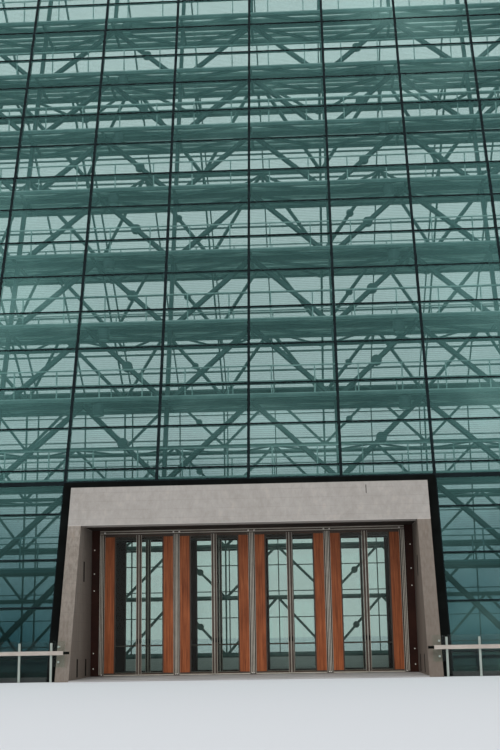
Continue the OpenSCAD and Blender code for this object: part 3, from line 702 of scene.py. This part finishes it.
def deckFittings():
    drums, lenses = Stock(), Stock()
    radius, sides = deckLamps["radius"], deckLamps["sides"]
    drum = [(share, radius * part) for share, part in deckLamps["profile"]]
    lens = [(share, radius * part) for share, part in deckLamps["lensProfile"]]
    for level in range(2, hall["levels"] + 1):
        z = deckHeight(level)
        start = frontLine + z * math.tan(hall["lean"]) + hall["deckFront"]
        for side in (-1, 1):
            foot = Vector((side * deckLamps["x"], start + radius, z - deckLamps["hang"]))
            tip = foot - Vector((0, 0, deckLamps["height"]))
            drums.lathe(foot, tip, drum, sides)
            lenses.lathe(tip, tip - Vector((0, 0, deckLamps["lens"])), lens, sides)
    drums.piece("deck_lamps", "truss_steel")
    lenses.piece("deck_lamp_lenses", "grating_steel")


# Bolts, faces and ends of the handrails, and a strip of glass on two clamps in front of each leg
guard = {
    "firstIn": 0.15,  # from the side of the surround in to the first post
    "lastIn": 0.035,
    "pitch": 1.02,
    "boltHeights": (0.2, 0.62, 1.1),
    "boltRadius": 0.016,
    "boltOut": 0.009,
    "stripSpan": (0.045, 0.44),
    "stripLow": 0.46,
    "stripEdge": 0.002,
    "clampIn": 0.235,
    "clampHeights": (0.62, 1.09),
    "clampRadius": 0.035,
    "clampOut": 0.02,
    "stem": [(0, 0.03), (0.12, 0.03), (0.16, 0.016), (1, 0.016)],
    "legFoot": 0.315,  # how far the leg stands out at the ground
    "railIn": 0.4,
    "railLow": 0.835,
    "railHigh": 0.96,
    "railThick": 0.018,
    "railEdge": 0.004,
    "capLength": 0.19,
    "capHeight": 0.08,
    "capBack": 0.03,
    "capEdge": 0.002,
    "sides": 12,
}


def guardFittings():
    bolts, strips, clamps, ends, faces = (Stock() for _ in range(5))
    posts, glass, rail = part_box("guard_posts"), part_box("guard_glass"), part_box("guard_rails")
    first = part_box("portal_surround")[1].x - guard["firstIn"]
    last = posts[1].x - guard["lastIn"]
    panes = round((last - first) / guard["pitch"])
    railFront = rail[0].y - guard["railThick"]
    bolt, clamp = (guard["boltRadius"], guard["boltOut"]), (guard["clampRadius"], guard["clampOut"])
    railMiddle = (guard["railLow"] + guard["railHigh"]) / 2
    for side in (-1, 1):
        for number in range(panes + 1):
            x = side * (first + (last - first) * number / panes)
            for z in guard["boltHeights"]:
                bolts.stud((x, posts[0].y, z), outward, *bolt, guard["sides"])
        low, high = sorted(side * (first - reach) for reach in guard["stripSpan"])
        strips.box((low, glass[0].y, guard["stripLow"]), (high, glass[1].y, glass[1].z))
        x = side * (first - guard["clampIn"])
        for z in guard["clampHeights"]:
            face = frontLine - guard["legFoot"] + z * math.tan(hall["lean"])
            clamps.stud((x, glass[0].y, z), outward, *clamp)
            clamps.lathe((x, glass[1].y, z), (x, face, z), guard["stem"], guard["sides"])
        inner, outer = side * (first - guard["railIn"]), side * rail[1].x
        faces.box((min(inner, outer), railFront, guard["railLow"]),
                  (max(inner, outer), rail[0].y, guard["railHigh"]))
        tip = inner - side * guard["capLength"]
        ends.box((min(inner, tip), railFront, railMiddle - guard["capHeight"] / 2),
                 (max(inner, tip), rail[0].y + guard["capBack"], railMiddle + guard["capHeight"] / 2))
    bolts.piece("guard_bolts", "guard_steel")
    strips.piece("leg_screens", "clear_glass", bevel=guard["stripEdge"])
    clamps.piece("leg_screen_clamps", "guard_steel")
    ends.piece("handrail_ends", "black_steel", bevel=guard["capEdge"])
    faces.piece("handrail_faces", "rail_bronze", bevel=guard["railEdge"])


transomClips()
mullionCovers()
doorHighlightsAndPivots()
for number in range(1, 9):
    leafHighlightsAndLocks(number, "door_%d" % number, doorPlane, "leaf")
    leafHighlightsAndLocks(number, "inner_leaf_%d" % number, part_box("inner_door_%d" % number)[0].y, "inner_leaf")
recessFittings()
deckFittings()
guardFittings()
print("fittings made")

# Camera where the photograph was taken, with its angles in degrees and its focal length in pixels
view = {
    "place": (2.031, -37.918, 1.364),  # measured from the middle of the front glass at the ground
    "yaw": -2.743,
    "pitch": 12.567,
    "roll": 0.9406,
    "focal": 1165.97,
    "height": 750,
    "sensor": 36,
    "far": 2000,
}


def aimCamera():
    yaw, pitch, roll = (math.radians(view[key]) for key in ("yaw", "pitch", "roll"))
    ahead = Vector((math.sin(yaw) * math.cos(pitch), math.cos(yaw) * math.cos(pitch), math.sin(pitch)))
    level = Vector((math.cos(yaw), -math.sin(yaw), 0))
    below = ahead.cross(level)
    right = level * math.cos(roll) + below * math.sin(roll)
    down = below * math.cos(roll) - level * math.sin(roll)
    data = bpy.data.cameras.new("camera")
    data.sensor_width = view["sensor"]
    data.lens = view["focal"] / view["height"] * data.sensor_width
    data.clip_end = view["far"]
    camera = bpy.data.objects.new("camera", data)
    turn = Matrix((right, -down, -ahead)).transposed().to_4x4()
    place = Vector(view["place"])
    camera.matrix_world = Matrix.Translation((place.x, place.y + frontLine, place.z)) @ turn
    bpy.context.scene.collection.objects.link(camera)
    bpy.context.scene.camera = camera


aimCamera()

# Pale floor, white surroundings and soft daylight
studio = {
    "floorSize": 900,
    "floorDrop": 0.002,
    "floorColor": shade(222, 224, 227),
    "skyColor": (0.96, 0.98, 1, 1),
    "sky": 0.8,
    "sun": 0.9,
    "sunSize": 40,
    "sunTurn": (38, 0, -24),
}


def layFloor():
    paint = Paint(bpy.data.materials.new("Floor"))
    half = studio["floorSize"] / 2
    mesh = bpy.data.meshes.new("floor")
    corners = [(-half, -half, 0), (half, -half, 0), (half, half, 0), (-half, half, 0)]
    mesh.from_pydata(corners, [], [(0, 1, 2, 3)])
    mesh.materials.append(paint.done(paint.solid({"Base Color": studio["floorColor"], "Roughness": 0.9})))
    floor = bpy.data.objects.new("floor", mesh)
    floor.location.z = -studio["floorDrop"]
    bpy.context.scene.collection.objects.link(floor)


def lightSky():
    paint = Paint(bpy.data.worlds.new("Sky"))
    camera, through, glossy = (paint.node("ShaderNodeLightPath", None, None, "Is %s Ray" % kind)
                               for kind in ("Camera", "Transmission", "Glossy"))
    shown = camera.either(through).either(glossy)
    daylight = {"Color": studio["skyColor"], "Strength": studio["sky"]}
    soft = paint.node("ShaderNodeBackground", None, daylight)
    white = paint.node("ShaderNodeBackground", None, {"Color": (1, 1, 1, 1)})
    bpy.context.scene.world = paint.done(paint.blend(shown, soft, white), "ShaderNodeOutputWorld")
    data = bpy.data.lights.new("sun", "SUN")
    data.energy = studio["sun"]
    data.angle = math.radians(studio["sunSize"])
    sun = bpy.data.objects.new("sun", data)
    sun.rotation_euler = [math.radians(a) for a in studio["sunTurn"]]
    sun.visible_glossy = False  # the glass mirrors the white sky and no round lamp
    bpy.context.scene.collection.objects.link(sun)


layFloor()
lightSky()
bpy.context.scene.view_settings.view_transform = "Standard"
print("camera, floor and light ready")
